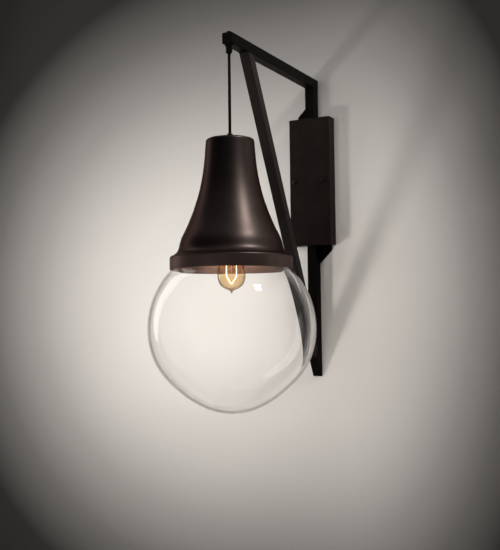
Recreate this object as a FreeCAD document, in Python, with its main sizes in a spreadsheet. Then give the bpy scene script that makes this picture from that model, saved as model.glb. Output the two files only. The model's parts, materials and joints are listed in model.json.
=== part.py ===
import FreeCAD, Part
import math
import os
import Sketcher
from FreeCAD import Placement, Rotation, Vector

# Wall sconce: a welded bracket of square tube (post on the wall, arm and slanting brace), a folded
# cover box over the wiring and the wall plate, and a bell pendant with a clear globe and a filament
# bulb that hangs from the arm's tip on a cord.
# Millimetres. X runs right along the wall, Y into the wall and Z up. The wall is the plane Y = 0,
# and the origin is the centre of the four box screws in the wall plate, on the post's middle line.

doc = FreeCAD.newDocument("wall_sconce")

SIZES = {
    # bracket
    "tube_width": 25.4,
    "tube_wall": 1.6,
    "tube_corner": 1.5,
    "post_depth": 31.75,
    "foot_drop": 528,
    "arm_top": 284,
    "arm_reach": 490,
    "brace_reach": 409.3,
    "brace_toe": 3.5,
    "foot_plate": 2,
    "end_cap": 2.5,
    "end_cap_round": 0.8,
    # wall plate, whose ears stand out of the cover at two corners
    "plate_thick": 3,
    "plate_width": 110,
    "plate_height": 330,
    "ear_width": 34.3,
    "ear_straight": 13.1,
    "box_screw_circle": 88.9,
    "box_screw_hole": 5.2,
    "anchor_across": 92,
    "anchor_inset": 15,
    "anchor_hole": 6.5,
    "entry_side": 25,
    "entry_bore": 15,
    "bushing_wall": 1.5,
    "bushing_lip": 2,
    "bushing_lip_thick": 1.6,
    # cover box, a folded pan over the plate, and its studs and ball nuts
    "cover_width": 117.5,
    "cover_height": 347,
    "cover_depth": 38.7,
    "cover_sheet": 1.5,
    "cover_fold": 2.5,
    "notch_clear": 0.4,
    "stud_spacing": 82.55,
    "stud_width": 4,
    "stud_stand": 7,
    "stud_clear": 0.4,
    "nut_ball": 11,
    "nut_collar": 6.4,
    "nut_collar_tall": 1.6,
    "nut_fit": 0.05,
    "nut_bore_deep": 8.5,
    # wiring behind the cover
    "exit_height": 45,
    "cable_width": 7,
    "cable_clear": 0.4,
    "cable_bend": 9,
    "cable_stub": 9,
    "wire_width": 2.4,
    "wire_bend": 4,
    "wire_depth": 13,
    "wire_pitch": 2.6,
    "ground_side": 42,
    "ground_head": 8,
    "ground_head_tall": 2.6,
    "ground_width": 4,
    "ground_tap": 3.9,
    "connector_drop": 48,
    "connector_tall": 22,
    "connector_mouth": 10.4,
    "connector_tip": 6,
    "connector_wall": 1.2,
    "connector_bite": 12,
    "connector_first": 22,
    "connector_second": 34,
    # hanging point at the arm's tip
    "hang_reach": 480,
    "access_hole": 11,
    "plug_width": 13,
    "plug_rim": 1,
    "plug_dome": 5,
    "plug_stem": 3,
    "locknut_across": 14,
    "locknut_tall": 3.5,
    "stem_width": 9.8,
    "stem_bore": 7.8,
    "stem_fit": 0.1,
    "flange_width": 19.8,
    "flange_thick": 4,
    "gland_width": 15.3,
    "gland_tall": 18.6,
    "gland_taper": 3.6,
    "gland_mouth": 9,
    "seal_width": 12,
    "seal_tall": 6,
    "nipple_rise": 6,
    "nipple_bite": 8,
    # pendant cord
    "cord_width": 7,
    "cord_free": 184.8,
    "swing_gap": 0.3,
    # bell, cap nut and stem
    "cap_nut_width": 13,
    "cap_nut_tall": 13.4,
    "cap_nut_round": 1.5,
    "bell_height": 271.4,
    "bell_sheet": 1.2,
    "bell_corner": 6,
    "stem_below": 179.6,
    # lampholder
    "holder_cap_tall": 22,
    "holder_boss": 9,
    "holder_boss_tall": 6,
    "holder_wall": 1.5,
    "holder_width": 38,
    "holder_tall": 42.2,
    "holder_floor": 13,
    "holder_foot": 42,
    "holder_foot_tall": 4,
    "shell_bore": 27,
    "shell_wall": 0.5,
    "shell_tall": 25,
    "tab_width": 7,
    "tab_thick": 1.5,
    # rim band, gasket, set screws
    "band_width": 279.4,
    "band_height": 26.5,
    "band_wall": 2,
    "band_shelf": 12,
    "band_shelf_thick": 1.5,
    "band_lip_round": 0.8,
    "gasket_thick": 1.3,
    "set_screw": 4,
    "set_screw_gap": 0.3,
    "set_screw_rise": 13,
    # glass globe
    "globe_width": 381,
    "globe_drop": 132.7,
    "globe_wall": 4,
    "globe_lip": 272.8,
    "globe_lip_tall": 4,
    "globe_neck": 267,
    "globe_neck_tall": 10,
    # filament bulb, 64 mm wide and 145 mm long
    "bulb_width": 64,
    "bulb_length": 145,
    "bulb_glass": 0.8,
    "bulb_gap": 0.3,
    "bulb_cap": 26.2,
    "bulb_cap_tall": 24,
    "bulb_cap_wall": 0.4,
    "bulb_tip": 9.5,
    "bulb_tip_tall": 3,
    "bulb_neck": 24.6,
    "bulb_neck_in": 6,
    "bulb_stem": 7,
    "bulb_stem_foot": 23,
    "bulb_stem_tall": 44,
    "filament": 1.1,
    "filament_span": 22.8,
    "filament_top": 52,
    "filament_bend": 106,
    "filament_point": 124.4,
    "support": 0.9,
    "spoke_start": 2.6,
    "overrun": 2,
}

sheet = doc.addObject("Spreadsheet::Sheet", "sizes")
for row, (name, number) in enumerate(SIZES.items(), 1):
    sheet.set(f"A{row}", name)
    sheet.set(f"B{row}", str(number))
    sheet.setAlias(f"B{row}", name)
doc.recompute()

# Counts and shares, which carry no length.
BOX_SCREWS = 4
SET_SCREWS = 3
NUT_SIDES = 6
TUBE_CORNERS = 4
# Degrees that the filament's hairpin is turned about the bulb's axis.
HAIRPIN_TURN = 29

# The bell's outer line below its top corner: shares of the band's radius, and of the bell's height
# down from its top. It flares out of a nearly straight neck, rolls over and runs out in a cove.
BELL_SHARES = [
    (0.399, 0.0221), (0.404, 0.060), (0.414, 0.128), (0.456, 0.3055), (0.519, 0.458), (0.614, 0.6105),
    (0.737, 0.7624), (0.825, 0.863), (0.848, 0.9098), (0.868, 0.9407), (0.908, 0.9657), (0.967, 0.9845),
]
# The last step turns down over the band's top edge.
BELL_RIM_SHARES = [(0.991, 0.9912), (0.9975, 1)]

# The globe's outer line below its neck: degrees down from the equator and shares of the radius.
# The hand-blown glass draws in a little under its belly and is full again at the bottom.
GLOBE_SHARES = [
    (-43.5, 1), (-39, 1), (-33, 1), (-22, 1), (-11, 1), (0, 1), (12, 1), (24, 0.997), (35, 0.984),
    (46, 0.973), (57, 0.976), (68, 0.989), (79, 1.003), (90, 1.008),
]

# The bulb's outer line: shares of the glass's half width and of the bulb's length down from its tip
# contact, from the cap's mouth past the widest ring to the drawn-off point.
BULB_SHARES = [
    (0.42, 0.22), (0.50, 0.30), (0.62, 0.39), (0.765, 0.49), (0.91, 0.595), (0.985, 0.665), (1, 0.72),
    (0.965, 0.78), (0.87, 0.842), (0.72, 0.885), (0.55, 0.914), (0.40, 0.931), (0.27, 0.943),
]
# The rest of that line runs down the solid drawn-off point, and the hollow closes over it.
BULB_POINT_SHARES = [(0.15, 0.954), (0.08, 0.968), (0.05, 0.985)]


def number(expression):
    """The value of an expression in the sheet's sizes."""
    found = sheet.evalExpression(expression)
    return float(getattr(found, "Value", found))


def half(name):
    """Half of one size, as an expression."""
    return f"(sizes.{name} / 2)"


# Heights and places that several pieces share, as expressions of the sheet.
SIDE = half("tube_width")
BORE_SIDE = f"({SIDE} - sizes.tube_wall)"
ARM_UNDER = "(sizes.arm_top - sizes.tube_width)"
POST_FOOT = "(-sizes.foot_drop)"
BRACE_RUN = f"((sizes.brace_reach - sizes.brace_toe) / ({ARM_UNDER} - {POST_FOOT}))"
BRACE_STRETCH = f"sqrt(1 + {BRACE_RUN}^2)"
PLATE_TOP = "(sizes.plate_height / 2)"
COVER_TOP = "(sizes.cover_height / 2)"
EAR_EDGE = f"({half('tube_width')} + sizes.ear_width)"
EAR_CORNER = f"({COVER_TOP} + sizes.ear_straight)"
EAR_TIP = f"({EAR_CORNER} + sizes.ear_width)"
STUD_SIDE = half("stud_spacing")
GLAND_SEAT = f"({ARM_UNDER} - sizes.flange_thick)"
GLAND_MOUTH = f"({GLAND_SEAT} - sizes.gland_tall)"
CAP_NUT_TOP = f"({GLAND_MOUTH} - sizes.cord_free)"
BELL_TOP = f"({CAP_NUT_TOP} - sizes.cap_nut_tall)"
BELL_INNER_TOP = f"({BELL_TOP} - sizes.bell_sheet)"
BAND_TOP = f"({BELL_TOP} - sizes.bell_height)"
BAND_BOTTOM = f"({BAND_TOP} - sizes.band_height)"
SHELF_UNDER = f"({BAND_TOP} - sizes.band_shelf_thick)"
GLASS_TOP = f"({SHELF_UNDER} - sizes.gasket_thick)"
GLOBE_MIDDLE = f"({BAND_BOTTOM} - sizes.globe_drop)"
STEM_END = f"({BELL_TOP} - sizes.stem_below)"
HOLDER_CAP_TOP = f"({STEM_END} + sizes.holder_boss)"
HOLDER_TOP = f"({HOLDER_CAP_TOP} - sizes.holder_cap_tall)"
HOLDER_INSIDE = f"({HOLDER_TOP} - sizes.holder_floor)"
HOLDER_MOUTH = f"({HOLDER_TOP} - sizes.holder_tall)"
TAB_UNDER = f"({HOLDER_INSIDE} - sizes.tab_thick)"
BULB_TOP = f"({TAB_UNDER} - sizes.bulb_gap)"
HANG = "-sizes.hang_reach"

pieces = {}


def plane(body, role):
    """One of the body's own origin planes."""
    return next(item for item in body.Origin.OriginFeatures if item.Role == role)


def new_body(name, x="0", y="0", z="0"):
    """An empty body under its own label, placed by expressions."""
    body = doc.addObject("PartDesign::Body", name)
    body.Label = name
    for axis, expression in zip("xyz", (x, y, z)):
        if expression != "0":
            body.setExpression(f"Placement.Base.{axis}", expression)
    pieces[name] = body
    return body


def new_sketch(body, role, lift="0"):
    """A sketch on an origin plane, lifted along that plane's normal."""
    sketch = body.newObject("Sketcher::SketchObject", f"{body.Label}_sketch")
    sketch.AttachmentSupport = [(plane(body, role), "")]
    sketch.MapMode = "FlatFace"
    if lift != "0":
        sketch.setExpression("AttachmentOffset.Base.z", lift)
    return sketch


def tie(sketch, kind, edge, point, expression):
    """Holds one coordinate of a point of a sketch to the sheet."""
    row = sketch.addConstraint(Sketcher.Constraint(kind, -1, 1, edge, point, number(expression)))
    sketch.setExpression(f"Constraints[{row}]", expression)


def set_radius(sketch, edge, expression):
    """Holds the radius of a circle or an arc to the sheet."""
    row = sketch.addConstraint(Sketcher.Constraint("Radius", edge, number(expression)))
    sketch.setExpression(f"Constraints[{row}]", expression)


def arc_edge(sketch, start, stop, radius, turn):
    """Adds the short arc between two points, bending left (1) or right (-1), and returns its edge."""
    chord = stop - start
    rise = math.sqrt(max(radius ** 2 - (chord.Length / 2) ** 2, 0))
    across = Vector(-chord.y, chord.x, 0).normalize()
    centre = (start + stop) / 2 + across * rise * turn
    first, last = (start, stop) if turn > 0 else (stop, start)
    angles = [math.atan2(point.y - centre.y, point.x - centre.x) for point in (first, last)]
    circle = Part.Circle(centre, Vector(0, 0, 1), radius)
    return sketch.addGeometry(Part.ArcOfCircle(circle, *angles), False)


def outline(sketch, corners):
    """Closes a wire through corners written as expressions. (x, y) starts a straight edge, and
    (x, y, radius, turn) starts an arc that bends to the left (1) or to the right (-1)."""
    spots = [Vector(number(corner[0]), number(corner[1]), 0) for corner in corners]
    edges = []
    for corner, start, stop in zip(corners, spots, spots[1:] + spots[:1]):
        if len(corner) == 2:
            edges.append((sketch.addGeometry(Part.LineSegment(start, stop), False), 1, 2))
        else:
            edge = arc_edge(sketch, start, stop, number(corner[2]), corner[3])
            edges.append((edge, 1, 2) if corner[3] > 0 else (edge, 2, 1))
    for (edge, _, end), (following, begin, _) in zip(edges, edges[1:] + edges[:1]):
        sketch.addConstraint(Sketcher.Constraint("Coincident", edge, end, following, begin))
    for corner, (edge, begin, _) in zip(corners, edges):
        tie(sketch, "DistanceX", edge, begin, corner[0])
        tie(sketch, "DistanceY", edge, begin, corner[1])
        if len(corner) > 2:
            set_radius(sketch, edge, corner[2])


def rectangle(sketch, left, right, low, high):
    """A closed rectangle between four expressions."""
    outline(sketch, [(left, low), (right, low), (right, high), (left, high)])


def tube_outline(sketch, low, high):
    """The outside of a tube on end, with its rounded corners, between two heights of the sketch."""
    bend = "sizes.tube_corner"
    outline(sketch, [
        (f"-{SIDE} + {bend}", low), (f"{SIDE} - {bend}", low, bend, 1),
        (SIDE, f"{low} + {bend}"), (SIDE, f"{high} - {bend}", bend, 1),
        (f"{SIDE} - {bend}", high), (f"-{SIDE} + {bend}", high, bend, 1),
        (f"-{SIDE}", f"{high} - {bend}"), (f"-{SIDE}", f"{low} + {bend}", bend, 1),
    ])


def circle(sketch, x, y, width):
    """A circle of a diameter, with its centre written as expressions."""
    radius = f"(({width}) / 2)"
    round_edge = Part.Circle(Vector(number(x), number(y), 0), Vector(0, 0, 1), number(radius))
    edge = sketch.addGeometry(round_edge, False)
    tie(sketch, "DistanceX", edge, 3, x)
    tie(sketch, "DistanceY", edge, 3, y)
    set_radius(sketch, edge, radius)


def pad(body, sketch, length, side="One side"):
    """Raises a sketch along its plane's normal, or half to each side."""
    raised = body.newObject("PartDesign::Pad", f"{body.Label}_pad")
    raised.Profile = sketch
    raised.SideType = side
    raised.setExpression("Length", length)
    doc.recompute()
    return raised


def pocket(body, sketch, length=None, side="One side", along_normal=False):
    """Cuts a sketch into the body and stops if nothing was cut."""
    before = body.Shape.Volume
    cut = body.newObject("PartDesign::Pocket", f"{body.Label}_pocket")
    cut.Profile = sketch
    cut.SideType = side
    cut.Reversed = along_normal
    if length is None:
        cut.Type = "ThroughAll"
    else:
        cut.setExpression("Length", length)
    doc.recompute()
    if not body.Shape.Volume < before:
        raise RuntimeError(f"a pocket of {body.Label} cuts nothing")
    return cut


def turned(name, corners, y="0", z="0", x="0"):
    """A body of revolution about its own Z axis, from half of its section."""
    body = new_body(name, x, y, z)
    sketch = new_sketch(body, "XZ_Plane")
    outline(sketch, corners)
    spin = body.newObject("PartDesign::Revolution", f"{name}_revolution")
    spin.Profile = sketch
    spin.ReferenceAxis = (sketch, ["V_Axis"])
    doc.recompute()
    return body


def tube_section(outer, inner, low, high):
    """Half the section of a plain tube, between two diameters and two heights."""
    return [(f"{inner} / 2", low), (f"{outer} / 2", low), (f"{outer} / 2", high), (f"{inner} / 2", high)]


def face_outwards(body):
    """Turns a body's own Z axis to point away from the wall."""
    body.Placement = Placement(body.Placement.Base, Rotation(Vector(1, 0, 0), 90))


def hexagon(across):
    """The corners of a hexagon of a width across flats, as expressions."""
    corner = f"({across} / sqrt(3))"
    step = 360 // NUT_SIDES
    return [(f"{corner} * cos({side * step} deg)", f"{corner} * sin({side * step} deg)")
            for side in range(NUT_SIDES)]


def hex_nut(name, low):
    """A thin nut on the threaded stem, at the pendant's axis."""
    body = new_body(name, y=HANG)
    sketch = new_sketch(body, "XY_Plane", low)
    outline(sketch, hexagon("sizes.locknut_across"))
    circle(sketch, "0", "0", "(sizes.stem_width + sizes.stem_fit)")
    pad(body, sketch, "sizes.locknut_tall")
    return body


def shaped(name, shape, x=0, y=0, z=0):
    """A piece whose shape is made with Part's own functions."""
    piece = doc.addObject("Part::Feature", name)
    piece.Label = name
    piece.Shape = shape
    piece.Placement = Placement(Vector(x, y, z), Rotation())
    pieces[name] = piece
    return piece


def spline(points, beyond=()):
    """The smooth curve through points (radius, height) of the XZ plane and on through others."""
    curve = Part.BSplineCurve()
    curve.interpolate([Vector(radius, 0, height) for radius, height in [*points, *beyond]])
    return curve


def to_axis(points):
    """The curve through points that end on the axis, which crosses the axis level, and its edge."""
    curve = spline(points, [(-radius, height) for radius, height in points[-2:-4:-1]])
    radius, height = points[-1]
    return curve, curve.toShape(curve.FirstParameter, curve.parameter(Vector(radius, 0, height)))


def set_in(curve, points, depth):
    """The points of a curve moved to its right by a depth."""
    moved = []
    for radius, height in points:
        spot = Vector(radius, 0, height)
        along = curve.tangent(curve.parameter(spot))[0]
        inward = Vector(along.z, 0, -along.x)
        spot = spot + inward * depth
        moved.append((spot.x, spot.z))
    return moved


def lines(points):
    """Straight edges through points (radius, height) of the XZ plane."""
    spots = [Vector(radius, 0, height) for radius, height in points]
    return [Part.LineSegment(start, stop).toShape() for start, stop in zip(spots, spots[1:])]


def spun(edges):
    """The solid that a closed chain of edges sweeps about the Z axis."""
    wire = Part.Wire(Part.__sortEdges__(edges))
    return Part.Face(wire).revolve(Vector(0, 0, 0), Vector(0, 0, 1), 360)


def run_tube(points, width, bend):
    """A round tube along straight runs joined by tangent arcs, checked against its length."""
    spots = [Vector(*point) for point in points]
    edges = []
    start = spots[0]
    for before, corner, after in zip(spots, spots[1:], spots[2:]):
        way_in = (corner - before).normalize()
        way_out = (after - corner).normalize()
        turn = way_in.getAngle(way_out)
        reach = bend * math.tan(turn / 2)
        arc_start = corner - way_in * reach
        arc_stop = corner + way_out * reach
        inside = (way_out - way_in).normalize()
        centre = corner + inside * (bend / math.cos(turn / 2))
        edges.append(Part.LineSegment(start, arc_start).toShape())
        edges.append(Part.Arc(arc_start, centre - inside * bend, arc_stop).toShape())
        start = arc_stop
    edges.append(Part.LineSegment(start, spots[-1]).toShape())
    path = Part.Wire(edges)
    way = (spots[1] - spots[0]).normalize()
    section = Part.Wire(Part.Circle(spots[0], way, width / 2).toShape())
    tube = path.makePipeShell([section], True, False)
    wanted = math.pi * (width / 2) ** 2 * path.Length
    if abs(tube.Volume / wanted - 1) > 0.01:
        raise RuntimeError("a tube is not its section times its length")
    return tube


# Post: an upright tube whose rear wall gives way to the plate and whose foot is cut on the slant.

def brace_height(inset):
    """Where the brace's front line, set back by an inset, meets the post's front, as an expression."""
    rise = f"(sizes.post_depth - sizes.brace_toe + ({inset}) * {BRACE_STRETCH}) / {BRACE_RUN}"
    return f"({POST_FOOT} + {rise})"


FOOT_INNER = f"(sizes.foot_plate * {BRACE_STRETCH} - sizes.brace_toe)"

post = new_body("post_tube")
section = new_sketch(post, "XY_Plane", POST_FOOT)
tube_outline(section, "-sizes.post_depth", "0")
rectangle(section, f"-{BORE_SIDE}", BORE_SIDE, "-(sizes.post_depth - sizes.tube_wall)", "-sizes.tube_wall")
pad(post, section, f"{ARM_UNDER} - {POST_FOOT}")
plate_seat = new_sketch(post, "XZ_Plane")
rectangle(plate_seat, f"-({SIDE} + sizes.overrun)", f"{SIDE} + sizes.overrun", f"-{PLATE_TOP}", PLATE_TOP)
pocket(post, plate_seat, "sizes.plate_thick", along_normal=True)
foot_cut = new_sketch(post, "YZ_Plane")
outline(foot_cut, [
    ("-(sizes.post_depth + sizes.overrun)", brace_height("sizes.foot_plate")),
    ("-sizes.post_depth", brace_height("sizes.foot_plate")),
    (FOOT_INNER, POST_FOOT),
    (FOOT_INNER, f"{POST_FOOT} - sizes.overrun"),
    ("-(sizes.post_depth + sizes.overrun)", f"{POST_FOOT} - sizes.overrun"),
])
pocket(post, foot_cut, "sizes.tube_width + sizes.overrun", side="Symmetric")
cable_way = new_sketch(post, "YZ_Plane")
circle(cable_way, "-sizes.post_depth / 2", "sizes.exit_height", "(sizes.cable_width + 2 * sizes.bushing_wall)")
pocket(post, cable_way, "sizes.tube_width", along_normal=True)

# Arm: a tube over the post's top, open to the post's bore and bored for the cord at its tip.
arm = new_body("arm_tube")
section = new_sketch(arm, "XZ_Plane")
tube_outline(section, ARM_UNDER, "sizes.arm_top")
rectangle(section, f"-{BORE_SIDE}", BORE_SIDE, f"{ARM_UNDER} + sizes.tube_wall", "sizes.arm_top - sizes.tube_wall")
pad(arm, section, "sizes.arm_reach - sizes.end_cap")
floor_holes = new_sketch(arm, "XY_Plane", f"{ARM_UNDER} + sizes.tube_wall + sizes.overrun")
circle(floor_holes, "0", "-sizes.post_depth / 2", "(sizes.cable_width * 2)")
circle(floor_holes, "0", HANG, "(sizes.stem_width + sizes.stem_fit)")
pocket(arm, floor_holes, "sizes.tube_wall + 2 * sizes.overrun")
roof_hole = new_sketch(arm, "XY_Plane", "sizes.arm_top + sizes.overrun")
circle(roof_hole, "0", HANG, "sizes.access_hole")
pocket(arm, roof_hole, "sizes.tube_wall + 2 * sizes.overrun")

end_cap = new_body("arm_end_cap")
section = new_sketch(end_cap, "XZ_Plane", "sizes.arm_reach - sizes.end_cap")
tube_outline(section, ARM_UNDER, "sizes.arm_top")
cap_block = pad(end_cap, section, "sizes.end_cap")
front_face = min(range(len(cap_block.Shape.Faces)), key=lambda i: cap_block.Shape.Faces[i].CenterOfMass.y)
cap_round = end_cap.newObject("PartDesign::Fillet", "arm_end_cap_round")
cap_round.Base = (cap_block, [f"Face{front_face + 1}"])
cap_round.setExpression("Radius", "sizes.end_cap_round")

# Brace: a tube cut level under the arm and upright against the post's front.

def brace_section(front, rear):
    """The brace's side outline between two depths behind its front line."""
    return [
        (f"-sizes.brace_reach + ({front}) * {BRACE_STRETCH}", ARM_UNDER),
        ("-sizes.post_depth", brace_height(front)),
        ("-sizes.post_depth", brace_height(rear)),
        (f"-sizes.brace_reach + ({rear}) * {BRACE_STRETCH}", ARM_UNDER),
    ]


brace = new_body("brace_tube")
section = new_sketch(brace, "YZ_Plane")
outline(section, brace_section("0", "sizes.tube_width"))
brace_block = pad(brace, section, "sizes.tube_width", side="Symmetric")
edge_order = sorted(range(len(brace_block.Shape.Edges)), key=lambda i: -brace_block.Shape.Edges[i].Length)
brace_round = brace.newObject("PartDesign::Fillet", "brace_tube_corners")
brace_round.Base = (brace_block, [f"Edge{i + 1}" for i in edge_order[:TUBE_CORNERS]])
brace_round.setExpression("Radius", "sizes.tube_corner")
doc.recompute()
bore = new_sketch(brace, "YZ_Plane")
outline(bore, brace_section("sizes.tube_wall", "sizes.tube_width - sizes.tube_wall"))
pocket(brace, bore, "sizes.tube_width - 2 * sizes.tube_wall", side="Symmetric")

foot = new_body("foot_plate")
section = new_sketch(foot, "YZ_Plane")
outline(section, [
    ("-sizes.post_depth", brace_height("0")),
    ("-sizes.brace_toe", POST_FOOT),
    (FOOT_INNER, POST_FOOT),
    ("-sizes.post_depth", brace_height("sizes.foot_plate")),
])
pad(foot, section, "sizes.tube_width", side="Symmetric")

# Wall plate: flush in the post's back, with one ear up to the left and one down to the right.
plate_side = half("plate_width")
plate = new_body("wall_plate")
section = new_sketch(plate, "XZ_Plane")
outline(section, [
    (f"-{plate_side}", f"-{PLATE_TOP}"),
    (SIDE, f"-{PLATE_TOP}"),
    (SIDE, f"-{EAR_TIP}"),
    (EAR_EDGE, f"-{EAR_CORNER}"),
    (EAR_EDGE, f"-{PLATE_TOP}"),
    (plate_side, f"-{PLATE_TOP}"),
    (plate_side, PLATE_TOP),
    (f"-{SIDE}", PLATE_TOP),
    (f"-{SIDE}", EAR_TIP),
    (f"-{EAR_EDGE}", EAR_CORNER),
    (f"-{EAR_EDGE}", PLATE_TOP),
    (f"-{plate_side}", PLATE_TOP),
])
pad(plate, section, "sizes.plate_thick")
holes = new_sketch(plate, "XZ_Plane")
for screw in range(BOX_SCREWS):
    turn = (screw + 0.5) * 360 / BOX_SCREWS
    reach = half("box_screw_circle")
    circle(holes, f"{reach} * cos({turn} deg)", f"{reach} * sin({turn} deg)", "sizes.box_screw_hole")
for across in ("-", ""):
    for upright in ("-", ""):
        circle(holes, f"{across}{half('anchor_across')}", f"{upright}({PLATE_TOP} - sizes.anchor_inset)", "sizes.anchor_hole")
circle(holes, "sizes.entry_side", "0", "(sizes.entry_bore + 2 * sizes.bushing_wall)")
circle(holes, "sizes.ground_side", "sizes.exit_height", "sizes.ground_tap")
pocket(plate, holes, side="Symmetric")

# Cover studs: two plain studs welded to the plate, which carry the cover and its ball nuts.
studs = []
for sign in (-1, 1):
    stud = Part.makeCylinder(
        number(half("stud_width")),
        number("sizes.cover_depth - sizes.plate_thick + sizes.stud_stand"),
        Vector(sign * number(STUD_SIDE), -number("sizes.plate_thick"), 0),
        Vector(0, -1, 0),
    )
    studs.append(stud)
shaped("cover_studs", Part.makeCompound(studs))

# Cover box: a folded pan, open to the wall, notched where the post and the plate's ears leave it.
cover = new_body("cover_box")
cover_side = half("cover_width")
section = new_sketch(cover, "XZ_Plane")
rectangle(section, f"-{cover_side}", cover_side, f"-{COVER_TOP}", COVER_TOP)
block = pad(cover, section, "sizes.cover_depth")
front_face = min(range(len(block.Shape.Faces)), key=lambda i: block.Shape.Faces[i].CenterOfMass.y)
fold = cover.newObject("PartDesign::Fillet", "cover_box_fold")
fold.Base = (block, [f"Face{front_face + 1}"])
fold.setExpression("Radius", "sizes.cover_fold")
doc.recompute()
rear_face = max(range(len(fold.Shape.Faces)), key=lambda i: fold.Shape.Faces[i].CenterOfMass.y)
hollow = cover.newObject("PartDesign::Thickness", "cover_box_hollow")
hollow.Base = (fold, [f"Face{rear_face + 1}"])
hollow.setExpression("Value", "sizes.cover_sheet")
hollow.Reversed = True
doc.recompute()
NOTCH_SIDE = f"({SIDE} + sizes.notch_clear)"
NOTCH_DEEP = "(sizes.post_depth + sizes.notch_clear)"
EAR_NOTCH = f"({EAR_EDGE} + sizes.notch_clear)"
EAR_DEEP = "(sizes.plate_thick + sizes.notch_clear)"
for low, left, right in ((f"{COVER_TOP} - sizes.cover_sheet - sizes.overrun", f"-{EAR_NOTCH}", f"-{NOTCH_SIDE}"),
                         (f"-{COVER_TOP} - sizes.overrun", NOTCH_SIDE, EAR_NOTCH)):
    notch = new_sketch(cover, "XY_Plane", low)
    inner, outer = (right, left) if left.startswith("-") else (left, right)
    far_side = NOTCH_SIDE if left.startswith("-") else f"-{NOTCH_SIDE}"
    outline(notch, [
        (far_side, "sizes.overrun"), (far_side, f"-{NOTCH_DEEP}"), (inner, f"-{NOTCH_DEEP}"),
        (inner, f"-{EAR_DEEP}"), (outer, f"-{EAR_DEEP}"), (outer, "sizes.overrun"),
    ])
    pocket(cover, notch, "sizes.cover_sheet + 2 * sizes.overrun", along_normal=True)
stud_holes = new_sketch(cover, "XZ_Plane")
for sign in ("-", ""):
    circle(stud_holes, f"{sign}{STUD_SIDE}", "0", "(sizes.stud_width + sizes.stud_clear)")
pocket(cover, stud_holes, side="Symmetric")

# Ball nuts: a ball on a short collar, with a blind bore that runs on the stud.
ball = half("nut_ball")
collar = half("nut_collar")
NUT_BORE = f"({half('stud_width')} + sizes.nut_fit)"
BALL_RISE = f"(sizes.nut_collar_tall + sqrt({ball}^2 - {collar}^2))"
for name, sign in (("ball_nut_left", "-"), ("ball_nut_right", "")):
    nut = turned(name, [
        (NUT_BORE, "0"),
        (collar, "0"),
        (collar, "sizes.nut_collar_tall", ball, 1),
        (ball, BALL_RISE, ball, 1),
        ("0", f"{BALL_RISE} + {ball}"),
        ("0", "sizes.nut_bore_deep"),
        (NUT_BORE, "sizes.nut_bore_deep"),
    ], x=f"{sign}{STUD_SIDE}", y="-sizes.cover_depth")
    face_outwards(nut)

# Wiring behind the cover: bushings, the cable through post and arm, leads, connectors and ground.

def bushing(name, bore, wall_through, x, y, z):
    """A snap-in bushing: a sleeve through a wall with a lip on its outer side, about its own Z axis."""
    sleeve = f"(({bore}) / 2 + sizes.bushing_wall)"
    return turned(name, [
        (f"({bore}) / 2", f"-{wall_through}"),
        (sleeve, f"-{wall_through}"),
        (sleeve, "0"),
        (f"{sleeve} + sizes.bushing_lip", "0"),
        (f"{sleeve} + sizes.bushing_lip", "sizes.bushing_lip_thick"),
        (f"({bore}) / 2", "sizes.bushing_lip_thick"),
    ], x=x, y=y, z=z)


plate_bushing = bushing("plate_bushing", "sizes.entry_bore", "sizes.plate_thick",
                        "sizes.entry_side", "-sizes.plate_thick", "0")
face_outwards(plate_bushing)
grommet = bushing("post_grommet", "sizes.cable_width", "sizes.tube_wall",
                  SIDE, "-sizes.post_depth / 2", "sizes.exit_height")
grommet.Placement = Placement(grommet.Placement.Base, Rotation(Vector(0, 1, 0), 90))

post_middle = -number("sizes.post_depth") / 2
exit_height = number("sizes.exit_height")
cable_end = number(SIDE) + number("sizes.cable_stub")
arm_line = number(ARM_UNDER) + number("sizes.tube_wall + sizes.nipple_rise + sizes.cable_bend")
hang = -number("sizes.hang_reach")
shaped("inner_cable", run_tube(
    [
        (cable_end, post_middle, exit_height),
        (0, post_middle, exit_height),
        (0, post_middle, arm_line),
        (0, hang, arm_line),
        (0, hang, number(GLAND_MOUTH)),
    ], number("sizes.cable_width"), number("sizes.cable_bend")))

wire = number("sizes.wire_width")
bend = number("sizes.wire_bend")
pitch = number("sizes.wire_pitch")
front_of_plate = -number("sizes.plate_thick")
lead_depth = -number("sizes.wire_depth")
connector_top = -number("sizes.connector_drop")
connector_ends = connector_top - number("sizes.connector_bite")
connector_sides = [number("sizes.connector_first"), number("sizes.connector_second")]
entry_side = number("sizes.entry_side")
supply = []
for side, start in zip(connector_sides, (entry_side - pitch, entry_side + pitch)):
    supply.append(run_tube(
        [(start, 0, 0), (start, lead_depth, 0), (side, lead_depth, connector_top / 2),
         (side, lead_depth, connector_ends)], wire, bend))
shaped("supply_leads", Part.makeCompound(supply))

lead_front = lead_depth - pitch
fixture = []
for side, rise in zip(connector_sides, (-pitch / 2, pitch / 2)):
    height = exit_height + rise
    fixture.append(run_tube(
        [(cable_end, lead_front, height), (side + bend * 3, lead_front, height),
         (side, lead_front, height - bend * 4), (side, lead_front, connector_ends)], wire, bend))
ground_side = number("sizes.ground_side")
head_top = front_of_plate - number("sizes.ground_head_tall")
fixture.append(run_tube(
    [(cable_end, lead_front - pitch, exit_height), (ground_side, lead_front - pitch, exit_height),
     (ground_side, head_top, exit_height)], wire, bend))
shaped("fixture_leads", Part.makeCompound(fixture))

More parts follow.
